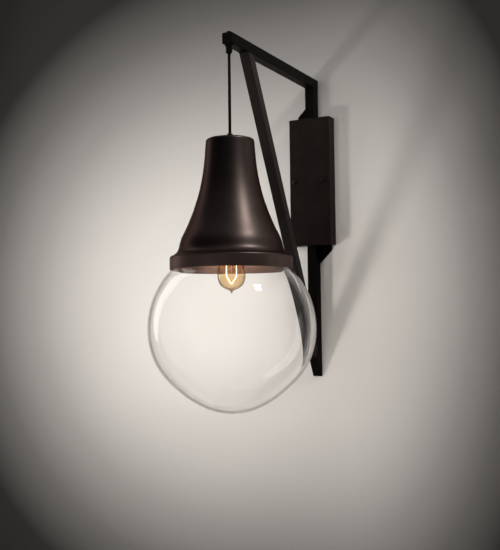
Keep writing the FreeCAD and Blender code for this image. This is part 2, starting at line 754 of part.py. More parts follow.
connectors = []
for side in connector_sides:
    height = number("sizes.connector_tall")
    wall = number("sizes.connector_wall")
    mouth = number(half("connector_mouth"))
    tip = number(half("connector_tip"))
    bite = number("sizes.connector_bite")
    foot_at = Vector(side, lead_depth - pitch / 2, connector_top - height)
    cone = Part.makeCone(tip, mouth, height, foot_at)
    floor_half = mouth - (mouth - tip) * bite / height - wall
    cavity = Part.makeCone(floor_half, mouth - wall, bite, foot_at + Vector(0, 0, height - bite))
    connectors.append(cone.cut(cavity))
shaped("wire_connectors", Part.makeCompound(connectors))

ground = turned("ground_screw", [
    ("0", "-sizes.plate_thick"),
    ("sizes.ground_tap / 2", "-sizes.plate_thick"),
    ("sizes.ground_tap / 2", "0"),
    ("sizes.ground_head / 2", "0"),
    ("sizes.ground_head / 2", "sizes.ground_head_tall"),
    ("0", "sizes.ground_head_tall"),
], x="sizes.ground_side", y="-sizes.plate_thick", z="sizes.exit_height")
face_outwards(ground)

# Hanging point: gland under the arm's tip, its nipple and locknut, and the plug of the access hole.
turned("access_plug", [
    ("0", "sizes.arm_top - sizes.plug_stem"),
    ("sizes.access_hole / 2", "sizes.arm_top - sizes.plug_stem"),
    ("sizes.access_hole / 2", "sizes.arm_top"),
    ("sizes.plug_width / 2", "sizes.arm_top"),
    ("sizes.plug_width / 2", "sizes.arm_top + sizes.plug_rim",
     "((sizes.plug_width / 2)^2 + sizes.plug_dome^2) / (2 * sizes.plug_dome)", 1),
    ("0", "sizes.arm_top + sizes.plug_rim + sizes.plug_dome"),
], y=HANG)
NIPPLE_END = f"({GLAND_SEAT} - sizes.nipple_bite)"
turned("gland_nipple", tube_section(
    "sizes.stem_width", "sizes.stem_bore", NIPPLE_END,
    f"{ARM_UNDER} + sizes.tube_wall + sizes.nipple_rise"), y=HANG)
hex_nut("gland_locknut", f"{ARM_UNDER} + sizes.tube_wall")
turned("gland_flange", tube_section(
    "sizes.flange_width", "(sizes.stem_width + sizes.stem_fit)", GLAND_SEAT, ARM_UNDER), y=HANG)
SEAL_TOP = f"({NIPPLE_END} - sizes.swing_gap)"
SEAL_BOTTOM = f"({SEAL_TOP} - sizes.seal_tall)"
turned("gland_body", [
    ("sizes.stem_bore / 2", GLAND_MOUTH),
    ("sizes.gland_mouth / 2", GLAND_MOUTH),
    ("sizes.gland_width / 2", f"{GLAND_MOUTH} + sizes.gland_taper"),
    ("sizes.gland_width / 2", GLAND_SEAT),
    ("(sizes.stem_width + sizes.stem_fit) / 2", GLAND_SEAT),
    ("(sizes.stem_width + sizes.stem_fit) / 2", NIPPLE_END),
    ("sizes.seal_width / 2", NIPPLE_END),
    ("sizes.seal_width / 2", SEAL_BOTTOM),
    ("sizes.stem_bore / 2", SEAL_BOTTOM),
], y=HANG)
turned("gland_seal", tube_section("sizes.seal_width", "sizes.cable_width", SEAL_BOTTOM, SEAL_TOP), y=HANG)

# Pendant cord: a free cord pulled straight by the lamp, round-ended where it swings.
cord_half = half("cord_width")
CORD_TOP = f"({GLAND_MOUTH} - sizes.swing_gap)"
CORD_BOTTOM = f"({CAP_NUT_TOP} + sizes.swing_gap)"
turned("pendant_cord", [
    ("0", CORD_BOTTOM, cord_half, 1),
    (cord_half, f"{CORD_BOTTOM} + {cord_half}"),
    (cord_half, f"{CORD_TOP} - {cord_half}", cord_half, 1),
    ("0", CORD_TOP),
], y=HANG)

# Bell: a spun shell with its cap nut on top and the stem that carries the lampholder inside.
cap_nut_half = half("cap_nut_width")
turned("bell_cap_nut", [
    ("(sizes.stem_width + sizes.stem_fit) / 2", BELL_TOP),
    (cap_nut_half, BELL_TOP),
    (cap_nut_half, f"{CAP_NUT_TOP} - sizes.cap_nut_round", "sizes.cap_nut_round", 1),
    (f"{cap_nut_half} - sizes.cap_nut_round", CAP_NUT_TOP),
    ("sizes.stem_bore / 2", CAP_NUT_TOP),
    ("sizes.stem_bore / 2", f"{CAP_NUT_TOP} - sizes.bell_sheet"),
    ("(sizes.stem_width + sizes.stem_fit) / 2", f"{CAP_NUT_TOP} - sizes.bell_sheet"),
], y=HANG)

bell_top = number(BELL_TOP)
bell_height = number("sizes.bell_height")
bell_sheet = number("sizes.bell_sheet")
corner = number("sizes.bell_corner")
band_half = number(half("band_width"))
flank = [(share * band_half, bell_top - drop * bell_height) for share, drop in BELL_SHARES]
rim = [(share * band_half, bell_top - drop * bell_height) for share, drop in BELL_RIM_SHARES]
hole = number("(sizes.stem_width + sizes.stem_fit) / 2")
flank_curve = spline(flank)
inner_flank = set_in(flank_curve, flank, bell_sheet)
rim_curve = spline([flank[-1]] + rim)
inner_rim = set_in(rim_curve, rim[:-1], bell_sheet) + [(rim[-1][0] - bell_sheet, rim[-1][1])]


def bell_crown(points, top, radius):
    """The flat crown and its rounded corner, down to the first point of the flank."""
    first_radius, first_height = points[0]
    start = Vector(hole, 0, top)
    edge = Vector(first_radius - radius, 0, top)
    lean = math.radians(45)
    middle = Vector(edge.x + radius * math.sin(lean), 0, top - radius * (1 - math.cos(lean)))
    stop = Vector(first_radius, 0, first_height)
    return [Part.LineSegment(start, edge).toShape(), Part.Arc(edge, middle, stop).toShape()]


outer_crown = bell_crown(flank, bell_top, bell_top - flank[0][1])
inner_crown = bell_crown(inner_flank, bell_top - bell_sheet, bell_top - bell_sheet - inner_flank[0][1])
inner_end = [inner_flank[-1]] + inner_rim
bell_edges = outer_crown + [flank_curve.toShape(), rim_curve.toShape()]
bell_edges += inner_crown + [spline(inner_flank).toShape(), spline(inner_end).toShape()]
bell_edges += lines([(hole, bell_top), (hole, bell_top - bell_sheet)])
bell_edges += lines([rim[-1], inner_end[-1]])
shaped("bell_shell", spun(bell_edges), y=hang)

hex_nut("bell_locknut", f"{BELL_INNER_TOP} - sizes.locknut_tall")
turned("holder_stem", tube_section(
    "sizes.stem_width", "sizes.stem_bore", STEM_END, f"{CAP_NUT_TOP} - sizes.bell_sheet"), y=HANG)
turned("stem_cable", [
    ("0", STEM_END), ("sizes.cable_width / 2", STEM_END),
    ("sizes.cable_width / 2", CAP_NUT_TOP), ("0", CAP_NUT_TOP),
], y=HANG)

# Lampholder: a domed cap on the stem, an insulating body, the screw shell and the contact tab.
holder_half = half("holder_width")
BOSS = f"(({half('stem_width')}) + sizes.stem_fit / 2 + 2 * sizes.holder_wall)"
DOME = f"({holder_half} - {BOSS})"
DOME_TOP = f"({HOLDER_CAP_TOP} - sizes.holder_boss_tall)"
turned("lampholder_cap", [
    ("(sizes.stem_width + sizes.stem_fit) / 2", f"{DOME_TOP} - sizes.holder_wall"),
    ("(sizes.stem_width + sizes.stem_fit) / 2", HOLDER_CAP_TOP),
    (BOSS, HOLDER_CAP_TOP),
    (BOSS, DOME_TOP, DOME, -1),
    (holder_half, f"{DOME_TOP} - {DOME}"),
    (holder_half, HOLDER_TOP),
    (f"{holder_half} - sizes.holder_wall", HOLDER_TOP),
    (f"{holder_half} - sizes.holder_wall", f"{DOME_TOP} - {DOME}", f"{DOME} - sizes.holder_wall", 1),
    (BOSS, f"{DOME_TOP} - sizes.holder_wall"),
], y=HANG)
turned("lampholder_body", [
    ("0", HOLDER_INSIDE),
    ("sizes.shell_bore / 2 + sizes.shell_wall", HOLDER_INSIDE),
    ("sizes.shell_bore / 2 + sizes.shell_wall", HOLDER_MOUTH),
    ("sizes.holder_foot / 2", HOLDER_MOUTH),
    ("sizes.holder_foot / 2", f"{HOLDER_MOUTH} + sizes.holder_foot_tall"),
    (holder_half, f"{HOLDER_MOUTH} + sizes.holder_foot_tall"),
    (holder_half, HOLDER_TOP),
    ("0", HOLDER_TOP),
], y=HANG)
turned("lampholder_shell", tube_section(
    "(sizes.shell_bore + 2 * sizes.shell_wall)", "sizes.shell_bore",
    f"{HOLDER_INSIDE} - sizes.shell_tall", HOLDER_INSIDE), y=HANG)
turned("lampholder_contact", [
    ("0", TAB_UNDER), ("sizes.tab_width / 2", TAB_UNDER), ("sizes.tab_width / 2", HOLDER_INSIDE), ("0", HOLDER_INSIDE),
], y=HANG)

# Rim band: an L-section ring under the bell, with three set screws that hold the globe's lip.
band_outer = half("band_width")
BAND_INNER = f"({band_outer} - sizes.band_wall)"
SCREW_HEIGHT = f"({BAND_BOTTOM} + sizes.set_screw_rise)"
band = turned("rim_band", [
    (BAND_INNER, BAND_BOTTOM),
    (f"{band_outer} - sizes.band_lip_round", BAND_BOTTOM, "sizes.band_lip_round", 1),
    (band_outer, f"{BAND_BOTTOM} + sizes.band_lip_round"),
    (band_outer, BAND_TOP),
    (f"{BAND_INNER} - sizes.band_shelf", BAND_TOP),
    (f"{BAND_INNER} - sizes.band_shelf", SHELF_UNDER),
    (BAND_INNER, SHELF_UNDER),
], y=HANG)
screw_hole = new_sketch(band, "YZ_Plane")
circle(screw_hole, "0", SCREW_HEIGHT, "sizes.set_screw")
hole_cut = pocket(band, screw_hole, band_outer + " + sizes.overrun", along_normal=True)
hole_ring = band.newObject("PartDesign::PolarPattern", "rim_band_holes")
hole_ring.Originals = [hole_cut]
hole_ring.Axis = (screw_hole, ["V_Axis"])
hole_ring.Angle = 360
hole_ring.Occurrences = SET_SCREWS
band.Tip = hole_ring

screws = []
screw_start = number(f"sizes.globe_neck / 2 + sizes.set_screw_gap")
for screw in range(SET_SCREWS):
    turn = math.radians(screw * 360 / SET_SCREWS)
    way = Vector(math.cos(turn), math.sin(turn), 0)
    length = band_half - screw_start
    base = way * screw_start + Vector(0, 0, number(SCREW_HEIGHT))
    screws.append(Part.makeCylinder(number(half("set_screw")), length, base, way))
shaped("set_screws", Part.makeCompound(screws), y=hang)
turned("globe_gasket", tube_section(
    "sizes.globe_lip", f"({BAND_INNER} - sizes.band_shelf) * 2", GLASS_TOP, SHELF_UNDER), y=HANG)

# Globe: clear glass with a rolled lip and a short neck, open at the top.
globe_half = number(half("globe_width"))
globe_middle = number(GLOBE_MIDDLE)
glass_top = number(GLASS_TOP)


def globe_points():
    """The outside line of the neck, the belly and the bottom, down to the axis."""
    neck = number(half("globe_neck"))
    lip_under = glass_top - number("sizes.globe_lip_tall")
    neck_tall = number("sizes.globe_neck_tall")
    line = [(neck, lip_under), (neck, lip_under - neck_tall / 2), (neck, lip_under - neck_tall)]
    for degrees, share in GLOBE_SHARES:
        turn = math.radians(degrees)
        line.append((globe_half * share * math.cos(turn), globe_middle - globe_half * share * math.sin(turn)))
    line[-1] = (0, line[-1][1])
    return line


globe_outside = globe_points()
globe_curve, globe_outer = to_axis(globe_outside)
globe_inside = set_in(globe_curve, globe_outside[:-1], number("sizes.globe_wall"))
globe_inside.append((0, globe_outside[-1][1] + number("sizes.globe_wall")))
_, globe_inner = to_axis(globe_inside)
lip_half = number(half("globe_lip"))
rim_edges = lines([
    globe_outside[0], (lip_half, globe_outside[0][1]), (lip_half, glass_top),
    (globe_inside[0][0], glass_top), globe_inside[0],
])
pole_edge = lines([globe_inside[-1], globe_outside[-1]])
shaped("glass_globe", spun([globe_outer, globe_inner] + rim_edges + pole_edge), y=hang)

# Bulb: screw cap with its tip contact, a drawn glass envelope, and the filament cage on its stem.
BULB_CAP_END = f"({BULB_TOP} - sizes.bulb_tip_tall - sizes.bulb_cap_tall)"
TIP_UNDER = f"({BULB_TOP} - sizes.bulb_tip_tall)"
STEM_FOOT = f"({BULB_CAP_END} + sizes.bulb_neck_in)"
CAP_HALF = half("bulb_cap")
CAP_BORE = f"({CAP_HALF} - sizes.bulb_cap_wall)"
turned("bulb_cap", [
    ("sizes.bulb_tip / 2", f"{TIP_UNDER} - sizes.bulb_cap_wall"),
    (CAP_BORE, f"{TIP_UNDER} - sizes.bulb_tip_tall - sizes.bulb_cap_wall"),
    (CAP_BORE, BULB_CAP_END),
    (CAP_HALF, BULB_CAP_END),
    (CAP_HALF, f"{TIP_UNDER} - sizes.bulb_tip_tall"),
    ("sizes.bulb_tip / 2", TIP_UNDER),
], y=HANG)
turned("bulb_contact", [
    ("0", f"{TIP_UNDER} - sizes.bulb_tip_tall"),
    ("sizes.bulb_tip / 2", f"{TIP_UNDER} - sizes.bulb_tip_tall"),
    ("sizes.bulb_tip / 2", TIP_UNDER),
    ("sizes.tab_width / 2", BULB_TOP),
    ("0", BULB_TOP),
], y=HANG)

bulb_top = number(BULB_TOP)
bulb_half = number(half("bulb_width"))
bulb_length = number("sizes.bulb_length")
bulb_glass = number("sizes.bulb_glass")
neck_half = number(half("bulb_neck"))
neck_top = number(STEM_FOOT)
bulb_points = [(neck_half, neck_top), (neck_half, number(BULB_CAP_END))]
bulb_points += [(share * bulb_half, bulb_top - drop * bulb_length) for share, drop in BULB_SHARES]
bulb_solid_points = [(share * bulb_half, bulb_top - drop * bulb_length) for share, drop in BULB_POINT_SHARES]
bulb_solid_points.append((0, bulb_top - bulb_length))
bulb_curve, bulb_outer = to_axis(bulb_points + bulb_solid_points)
hollow_points = set_in(bulb_curve, bulb_points, bulb_glass)
hollow_points.append((0, hollow_points[-1][1] - bulb_glass))
_, bulb_inner = to_axis(hollow_points)
bulb_ends = lines([bulb_points[0], hollow_points[0]]) + lines([bulb_solid_points[-1], hollow_points[-1]])
shaped("bulb_envelope", spun([bulb_outer, bulb_inner] + bulb_ends), y=hang)

turned("bulb_stem", [
    ("0", f"{STEM_FOOT} - sizes.bulb_stem_tall"),
    ("sizes.bulb_stem / 4", f"{STEM_FOOT} - sizes.bulb_stem_tall"),
    ("sizes.bulb_stem / 2", f"{STEM_FOOT} - sizes.bulb_stem"),
    ("sizes.bulb_stem_foot / 2", STEM_FOOT),
    ("0", STEM_FOOT),
], y=HANG)

turn = math.radians(HAIRPIN_TURN)
leg_way = Vector(math.cos(turn), math.sin(turn), 0)
leg = leg_way * number(half("filament_span"))
filament = number("sizes.filament")
leg_top = Vector(0, 0, bulb_top - number("sizes.filament_top"))
leg_bend = Vector(0, 0, bulb_top - number("sizes.filament_bend"))
leg_point = Vector(0, 0, bulb_top - number("sizes.filament_point"))
shaped("bulb_filament", run_tube(
    [leg_top - leg, leg_bend - leg, leg_point, leg_bend + leg, leg_top + leg], filament, filament), y=hang)

support = number("sizes.support")
spoke_start = number("sizes.spoke_start")
mast_foot = leg_point + Vector(0, 0, filament * 2)
mast_tall = number(f"{STEM_FOOT} - sizes.bulb_stem_tall") - mast_foot.z
supports = [Part.makeCylinder(support / 2, mast_tall, mast_foot)]
for way in (leg_way, -leg_way):
    root = leg_top + way * spoke_start + Vector(0, 0, support / 2)
    supports.append(Part.makeCylinder(support / 2, leg.Length - spoke_start + filament / 2, root, way))
shaped("bulb_supports", Part.makeCompound(supports), y=hang)


# Checks every object and every piece, then writes one file per piece.
doc.recompute()
failed = [item.Label for item in doc.Objects if "Invalid" in item.State or "Error" in item.State]
failed += [name for name, piece in pieces.items() if piece.Shape.isNull() or not piece.Shape.isValid()]
if failed:
    raise RuntimeError(f"these pieces failed: {failed}")
os.makedirs("parts", exist_ok=True)
for name, piece in pieces.items():
    piece.Shape.exportStep(f"parts/{name}.step")
print(f"{len(pieces)} pieces written")
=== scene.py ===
"""Wall sconce: a square-tube bracket with a slanting brace and a wiring cover on the wall, and a spun
bell with a clear glass globe and a filament bulb that hangs from the arm's tip on a cord.

Everything is in metres in the part's frame: X right along the wall, Y into it, Z up, and the origin
at the middle of the wall plate's back. The file goes piece by piece, as the lamp is put together."""
import json
import math

import bpy
import numpy as np
from mathutils import Matrix, Vector


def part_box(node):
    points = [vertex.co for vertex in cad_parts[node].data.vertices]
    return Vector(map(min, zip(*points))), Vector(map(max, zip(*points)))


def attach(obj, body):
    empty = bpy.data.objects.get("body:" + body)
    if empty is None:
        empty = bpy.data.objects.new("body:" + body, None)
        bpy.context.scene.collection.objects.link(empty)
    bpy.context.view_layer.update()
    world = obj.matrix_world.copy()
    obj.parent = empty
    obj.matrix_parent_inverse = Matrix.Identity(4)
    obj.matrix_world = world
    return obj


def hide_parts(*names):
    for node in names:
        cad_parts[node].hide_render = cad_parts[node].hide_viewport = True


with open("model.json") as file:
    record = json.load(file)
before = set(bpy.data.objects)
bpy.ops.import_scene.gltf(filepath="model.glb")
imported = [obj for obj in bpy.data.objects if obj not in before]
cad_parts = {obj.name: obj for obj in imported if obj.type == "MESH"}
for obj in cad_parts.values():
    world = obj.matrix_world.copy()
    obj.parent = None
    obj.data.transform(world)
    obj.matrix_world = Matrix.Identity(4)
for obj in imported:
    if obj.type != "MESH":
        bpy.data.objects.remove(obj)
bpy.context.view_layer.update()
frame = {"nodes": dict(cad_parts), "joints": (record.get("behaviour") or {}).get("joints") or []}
nodes = frame["nodes"]

# Camera
# It stands to the right of the lamp, a little below the box, and looks slightly up, as the
# photograph was taken. Its place, turn and lens were solved from the photograph.
scene = bpy.context.scene
camera_place = (0.9948, -2.2736, -0.3819)
yaw, pitch, roll = math.radians(27.84), math.radians(3.04), math.radians(-0.68)
focal_length_pixels = 905.87
picture_height_pixels = 550
film_width = 36
ahead = Vector((-math.sin(yaw) * math.cos(pitch), math.cos(yaw) * math.cos(pitch), math.sin(pitch)))
level_right = Vector((math.cos(yaw), math.sin(yaw), 0))
level_up = level_right.cross(ahead)
right = level_right * math.cos(roll) + level_up * math.sin(roll)
up = level_up * math.cos(roll) - level_right * math.sin(roll)
camera_data = bpy.data.cameras.new("camera")
camera_data.sensor_width = film_width
camera_data.lens = film_width * focal_length_pixels / picture_height_pixels
camera_data.clip_start, camera_data.clip_end = 0.05, 60
camera = bpy.data.objects.new("camera", camera_data)
camera.matrix_world = Matrix.Translation(camera_place) @ Matrix((right, up, -ahead)).transposed().to_4x4()
scene.collection.objects.link(camera)
scene.camera = camera

# Pendant cord
# A round black cord between the gland's mouth and the bell's cap nut, pulled straight by the lamp's
# weight. It swings at the gland, and the lamp tilts at its lower end.
cord_diameter = 0.007
cord_route = [(0, -0.48, 0.2357), (0, -0.48, 0.2200), (0, -0.48, 0.1450), (0, -0.48, 0.0700),
              (0, -0.48, 0.0515)]
cord_curve = bpy.data.curves.new("pendant_cord_line", "CURVE")
cord_curve.dimensions = "3D"
cord_line = cord_curve.splines.new("NURBS")
cord_line.points.add(len(cord_route) - 1)
for point, place in zip(cord_line.points, cord_route):
    point.co = (*place, 1)
cord_line.order_u = 3
cord_line.use_endpoint_u = True
cord_line.resolution_u = 8
cord_curve.bevel_depth = cord_diameter / 2
cord_curve.bevel_resolution = 7
cord_curve.use_fill_caps = True
cord = bpy.data.objects.new("cord", cord_curve)
scene.collection.objects.link(cord)


def new_material(name):
    """A new material, its node tree and its output node."""
    material = bpy.data.materials.new(name)
    material.use_nodes = True
    tree = material.node_tree
    tree.nodes.clear()
    return material, tree, tree.nodes.new("ShaderNodeOutputMaterial")


def principled(tree, output, **values):
    """The material's Principled shader, with plain values on its sockets."""
    shader = tree.nodes.new("ShaderNodeBsdfPrincipled")
    for socket, value in values.items():
        shader.inputs[socket.replace("_", " ")].default_value = value
    tree.links.new(shader.outputs[0], output.inputs["Surface"])
    return shader


def feed(tree, socket, value):
    """Links a socket to another one, or gives it a plain number, vector or colour."""
    if isinstance(value, bpy.types.NodeSocket):
        tree.links.new(value, socket)
    elif socket.type == "RGBA":
        socket.default_value = (*value, 1)
    else:
        socket.default_value = value


def object_place(tree, stretch=(1, 1, 1), shift=(0, 0, 0)):
    """Object coordinates, stretched along each axis and shifted, for a pattern that stays on the piece."""
    coordinates = tree.nodes.new("ShaderNodeTexCoord")
    mapping = tree.nodes.new("ShaderNodeMapping")
    feed(tree, mapping.inputs["Scale"], stretch)
    feed(tree, mapping.inputs["Location"], shift)
    tree.links.new(coordinates.outputs["Object"], mapping.inputs["Vector"])
    return mapping.outputs[0]


def noise(tree, place, scale, detail=3, roughness=0.5):
    """Noise over a place socket, at a scale that is a number or a socket."""
    texture = tree.nodes.new("ShaderNodeTexNoise")
    feed(tree, texture.inputs["Scale"], scale)
    texture.inputs["Detail"].default_value = detail
    texture.inputs["Roughness"].default_value = roughness
    tree.links.new(place, texture.inputs["Vector"])
    return texture.outputs["Fac"]


def ramp(tree, value, *stops):
    """A colour ramp over a value, with stops (position, grey or colour)."""
    node = tree.nodes.new("ShaderNodeValToRGB")
    while len(node.color_ramp.elements) < len(stops):
        node.color_ramp.elements.new(0.5)
    for element, (position, tone) in zip(node.color_ramp.elements, stops):
        element.position = position
        element.color = (*(tone if isinstance(tone, tuple) else (tone,) * 3), 1)
    tree.links.new(value, node.inputs[0])
    return node.outputs[0]


def spread(tree, value, low, high, from_low=0.3, from_high=0.7):
    """A value carried from one range onto another, and held at its ends."""
    node = tree.nodes.new("ShaderNodeMapRange")
    ends = {"From Min": from_low, "From Max": from_high, "To Min": low, "To Max": high}
    for socket, number in ends.items():
        node.inputs[socket].default_value = number
    tree.links.new(value, node.inputs["Value"])
    return node.outputs[0]


def math_node(tree, operation, first, second):
    """A sum, product or other operation on two values, each a socket or a number."""
    node = tree.nodes.new("ShaderNodeMath")
    node.operation = operation
    feed(tree, node.inputs[0], first)
    feed(tree, node.inputs[1], second)
    return node.outputs[0]


def mixed(tree, share, first, second, blend="MIX"):
    """Two colours mixed by a share, each a socket or plain."""
    node = tree.nodes.new("ShaderNodeMix")
    node.data_type = "RGBA"
    node.blend_type = blend
    feed(tree, node.inputs["Factor"], share)
    feed(tree, node.inputs["A"], first)
    feed(tree, node.inputs["B"], second)
    return node.outputs["Result"]


def bump(tree, shader, height, strength, distance):
    """Relief on a shader from a height, whose full range stands for a distance in metres."""
    node = tree.nodes.new("ShaderNodeBump")
    node.inputs["Strength"].default_value = strength
    node.inputs["Distance"].default_value = distance
    tree.links.new(height, node.inputs["Height"])
    tree.links.new(node.outputs[0], shader.inputs["Normal"])


def finish_with(material, *names):
    """Gives CAD nodes one material."""
    for name in names:
        piece = nodes[name]
        piece.data.materials.clear()
        piece.data.materials.append(material)


def smooth(*names, angle=35):
    """Shades CAD nodes smooth except over edges sharper than an angle in degrees."""
    for name in names:
        mesh = nodes[name].data
        mesh.shade_smooth()
        mesh.set_sharp_from_angle(angle=math.radians(angle))


def effect_group(name, inputs, outputs):
    """A node group with named sockets, for an effect that several materials share."""
    group = bpy.data.node_groups.new(name, "ShaderNodeTree")
    for socket, kind, value in inputs:
        given = group.interface.new_socket(socket, in_out="INPUT", socket_type="NodeSocket" + kind)
        given.default_value = value
    for socket, kind in outputs:
        group.interface.new_socket(socket, in_out="OUTPUT", socket_type="NodeSocket" + kind)
    return group, group.nodes.new("NodeGroupInput").outputs, group.nodes.new("NodeGroupOutput").inputs


def placed(tree, group, **values):
    """A group's node in a material, with that material's own values."""
    effect = tree.nodes.new("ShaderNodeGroup")
    effect.node_tree = group
    for socket, value in values.items():
        feed(tree, effect.inputs[socket], value)
    return effect.outputs


def grouped(name, group, relief, depth, shader_values, **values):
    """A material whose colour, roughness and height come from an effect group."""
    material, tree, output = new_material(name)
    shader = principled(tree, output, **shader_values)
    effect = placed(tree, group, **values)
    tree.links.new(effect["Color"], shader.inputs["Base Color"])
    tree.links.new(effect["Roughness"], shader.inputs["Roughness"])
    bump(tree, shader, effect["Height"], relief, depth)
    return material


def moulded_grain_group():
    """The skin of moulded rubber and plastic: a fine grain, and slow patches of tone."""
    group, given, made = effect_group(
        "moulded_grain",
        [("Base", "Color", (0.02, 0.02, 0.02, 1)), ("Roughness", "Float", 0.5), ("Grain", "Float", 500)],
        [("Color", "Color"), ("Roughness", "Float"), ("Height", "Float")])
    place = object_place(group)
    fine = noise(group, place, given["Grain"], detail=2)
    slow = noise(group, place, scale=30, detail=2)
    tone = ramp(group, slow, (0.3, 0.78), (0.7, 1))
    group.links.new(mixed(group, 1, given["Base"], tone, "MULTIPLY"), made["Color"])
    group.links.new(math_node(group, "ADD", given["Roughness"], spread(group, fine, -0.06, 0.08)),
                    made["Roughness"])
    group.links.new(fine, made["Height"])
    return group


moulded_grain = moulded_grain_group()


def moulded(name, base, roughness, grain=500, relief=0.25, shine=0.5):
    """Moulded rubber or plastic."""
    return grouped(name, moulded_grain, relief, depth=0.0001, shader_values={"Specular_IOR_Level": shine},
                   Base=base, Roughness=roughness, Grain=grain)


cord_sheath = moulded("cord_sheath", base=(0.0030, 0.0028, 0.0026), roughness=0.5, grain=900, shine=0.05)
cord_curve.materials.append(cord_sheath)
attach(cord, "cord")
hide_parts("pendant_cord")
finish_with(cord_sheath, "pendant_cord", "inner_cable", "stem_cable")
smooth("inner_cable", "stem_cable")

# Bracket
# One-inch steel tube, mitred and welded into a triangle, then powder-coated nearly black with a
# brown cast. The coat is fine and satin, with the faint orange peel of sprayed powder.


def powder_coat_group():
    """Sprayed satin powder: a fine orange peel, slow drifts of tone and sheen, and dust on what faces up."""
    group, given, made = effect_group(
        "powder_coat",
        [("Base", "Color", (0.02, 0.015, 0.013, 1)), ("Roughness", "Float", 0.4), ("Mottle", "Float", 0.5),
         ("Dust", "Float", 0.1)],
        [("Color", "Color"), ("Roughness", "Float"), ("Height", "Float")])
    dust_colour = (0.16, 0.15, 0.14)
    place = object_place(group)
    peel = noise(group, place, scale=620, detail=2, roughness=0.45)
    patches = noise(group, place, scale=22, detail=3, roughness=0.55)
    tone = ramp(group, patches, (0.3, 0.55), (0.7, 1.0))
    coat = mixed(group, given["Mottle"], given["Base"], tone, "MULTIPLY")
    geometry = group.nodes.new("ShaderNodeNewGeometry")
    facing = group.nodes.new("ShaderNodeSeparateXYZ")
    group.links.new(geometry.outputs["Normal"], facing.inputs[0])
    upward = spread(group, facing.outputs["Z"], 0, 1, from_low=0.4, from_high=1)
    drifts = spread(group, noise(group, place, scale=7, detail=2), 0.2, 1)
    dusty = math_node(group, "MULTIPLY", math_node(group, "MULTIPLY", upward, drifts), given["Dust"])
    group.links.new(mixed(group, dusty, coat, dust_colour), made["Color"])
    group.links.new(math_node(group, "ADD", given["Roughness"], spread(group, patches, -0.04, 0.05)),
                    made["Roughness"])
    group.links.new(peel, made["Height"])
    return group


powder_coat = powder_coat_group()


def coated(name, base, roughness, mottle=0.5, dust=0.12, peel=0.25, shine=0.02):
    """A powder-coated or painted finish."""
    return grouped(name, powder_coat, peel, depth=0.00008, shader_values={"Specular_IOR_Level": shine},
                   Base=base, Roughness=roughness, Mottle=mottle, Dust=dust)


bracket_paint = coated("bracket_paint", base=(0.0036, 0.0030, 0.0027), roughness=0.42, shine=0.01)
# Painted light: the brace's coat is a lighter copy of the bracket's coat, for the light that the brace's
# faces catch.
brace_paint_painted_light = coated("brace_paint_painted_light", base=(0.0130, 0.0110, 0.0102), roughness=0.42, shine=0.06)
bracket = ("post_tube", "arm_tube", "arm_end_cap", "foot_plate", "wall_plate")
finish_with(bracket_paint, *bracket)
finish_with(brace_paint_painted_light, "brace_tube")
smooth(*bracket, "brace_tube")

# Weld beads
# Thin beads of weld where the tubes meet: round the post's top under the arm, and along both cuts
# of the brace. They are ground low and coated with the tubes.
bead_radius = 0.0009
ripple_length = 0.0016
ripple_share = 0.18
ripple_turn = 2.4


def bead(name, corners):
    """A low rippled bead along straight runs between corners."""
    points = []
    for start, stop in zip(corners, corners[1:]):
        start, stop = Vector(start), Vector(stop)
        steps = max(2, round((stop - start).length / ripple_length))
        points += [start.lerp(stop, step / steps) for step in range(steps)]
    points.append(Vector(corners[-1]))
    curve = bpy.data.curves.new(name, "CURVE")
    curve.dimensions = "3D"
    line = curve.splines.new("POLY")
    line.points.add(len(points) - 1)
    for index, (point, place) in enumerate(zip(line.points, points)):
        point.co = (*place, 1)
        point.radius = 1 - ripple_share + ripple_share * math.sin(index * ripple_turn)
    curve.bevel_depth = bead_radius
    curve.bevel_resolution = 2
    curve.use_fill_caps = True
    curve.materials.append(bracket_paint)
    piece = bpy.data.objects.new(name, curve)
    scene.collection.objects.link(piece)
    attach(piece, "bracket")


post_low, post_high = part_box("post_tube")
side = post_high.x
post_front = post_low.y
under_arm = post_high.z
off_wall = -0.0012
bead("weld_post_top", [(side, off_wall, under_arm), (side, post_front, under_arm),
                       (-side, post_front, under_arm), (-side, off_wall, under_arm)])
brace_top_cut = 0.0286
brace_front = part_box("brace_tube")[0].y
brace_rear = brace_front + brace_top_cut
bead("weld_brace_top", [(-side, brace_front, under_arm), (side, brace_front, under_arm),
                        (side, brace_rear, under_arm), (-side, brace_rear, under_arm),
                        (-side, brace_front, under_arm)])
foot_low, foot_high = -0.4725, -0.4178
bead("weld_brace_foot", [(side, post_front, foot_low), (side, post_front, foot_high),
                         (-side, post_front, foot_high), (-side, post_front, foot_low)])

# Wiring cover
# A pan folded from 1.5 mm steel sheet over the wall plate and coated dark brown. Two turned ball
# nuts on the plate's studs hold it, with a harder and darker coat of their own.
cover_paint = coated("cover_paint", base=(0.0100, 0.0072, 0.0064), roughness=0.45, mottle=0.7, shine=0.04)
finish_with(cover_paint, "cover_box")
nut_paint = coated("nut_paint", base=(0.0012, 0.0011, 0.0010), roughness=0.12, mottle=0.3, dust=0,
                   peel=0.05, shine=0.3)
finish_with(nut_paint, "ball_nut_left", "ball_nut_right")
smooth("cover_box", "ball_nut_left", "ball_nut_right")

# Wiring behind the cover
# Two supply leads come through the bushed entry into the wire connectors, which join them to the
# cable of the lamp. Its ground lead ends under the green screw.


